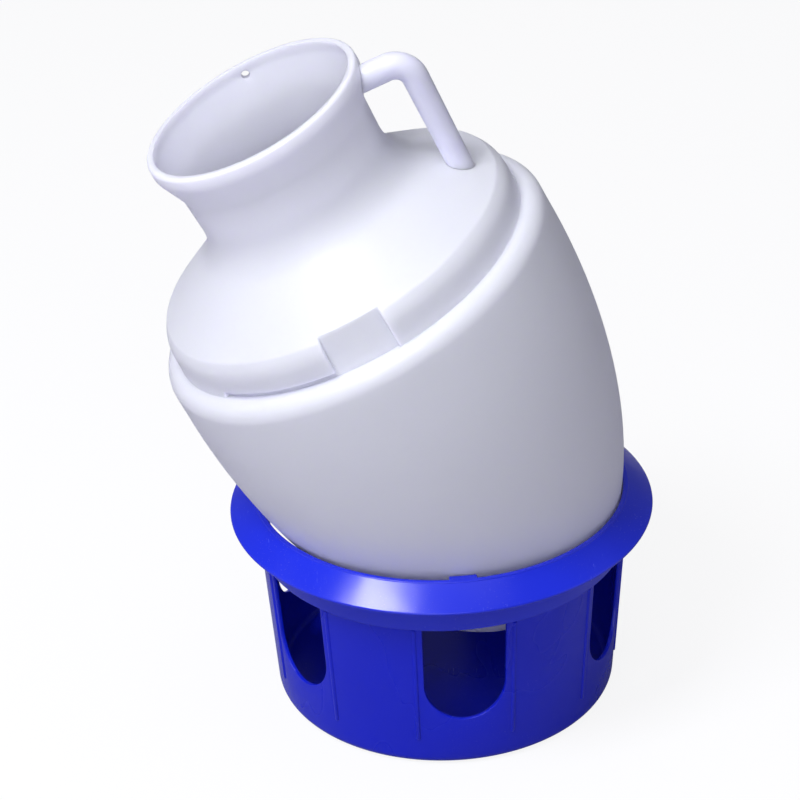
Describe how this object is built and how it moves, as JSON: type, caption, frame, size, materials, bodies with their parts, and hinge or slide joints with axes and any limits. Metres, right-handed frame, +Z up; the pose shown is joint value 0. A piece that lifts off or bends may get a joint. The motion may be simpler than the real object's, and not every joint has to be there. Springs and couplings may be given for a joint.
{
  "type": "pigeon drinker",
  "caption": "Poultry and pigeon drinker: an open-mouthed water jug with a side handle leaning in a round trough base with drinking windows, a collar and a rain skirt.",
  "frame": {"origin": "middle of the flat underside of the drinking drum", "axes": "+Z up, -Y the front towards the viewer, +X the side of the jug's handle"},
  "size_m": [0.2282, 0.2077, 0.3345],
  "materials": {
    "blue_drum": "glossy injection-moulded ultramarine blue plastic",
    "blue_collar": "glossy injection-moulded ultramarine blue plastic, slightly lighter at its lip",
    "milk_white_jug": "soft satin milky white blow-moulded plastic, slightly translucent",
    "milk_white_handle": "soft satin milky white blow-moulded plastic"
  },
  "bodies": {
    "base": {"drinking_drum": "blue_drum", "collar_and_rain_skirt": "blue_collar"},
    "jug": {"jug_shell": "milk_white_jug", "jug_handle": "milk_white_handle"}
  },
  "joints": [
    {"name": "jug_lift", "type": "slide", "parent": "base", "child": "jug", "axis": [-0.4183, -0.0713, 0.9055], "range_m": [0, 0.12]}
  ]
}
